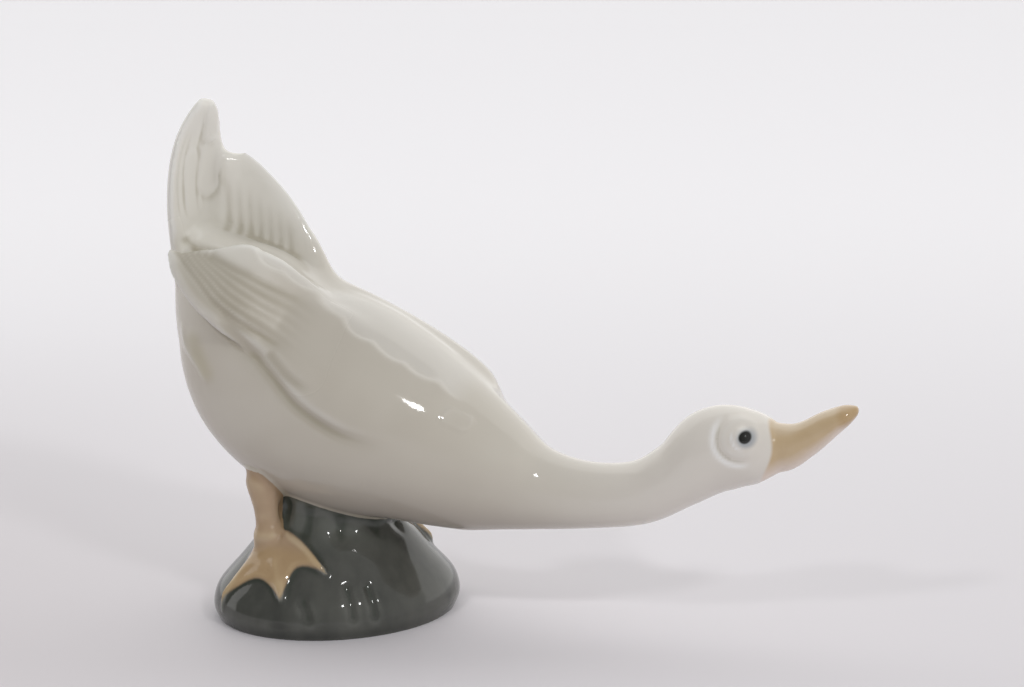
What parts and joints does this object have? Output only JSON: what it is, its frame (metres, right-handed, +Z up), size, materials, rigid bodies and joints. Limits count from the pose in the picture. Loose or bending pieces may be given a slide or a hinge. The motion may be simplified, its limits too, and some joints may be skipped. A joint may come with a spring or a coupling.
{
  "type": "goose figurine",
  "caption": "Glazed porcelain goose with a raised tail and a low stretched neck, standing on a small rounded mound.",
  "frame": {"origin": "centre of the mound's flat underside, on the surface it stands on", "axes": "+X the way the goose faces, +Y to its left, +Z up"},
  "size_m": [0.1581, 0.0522, 0.1187],
  "materials": {
    "porcelain": "glossy glaze over off-white porcelain"
  },
  "bodies": {
    "root": {"goose_figurine": "porcelain"}
  },
  "joints": []
}
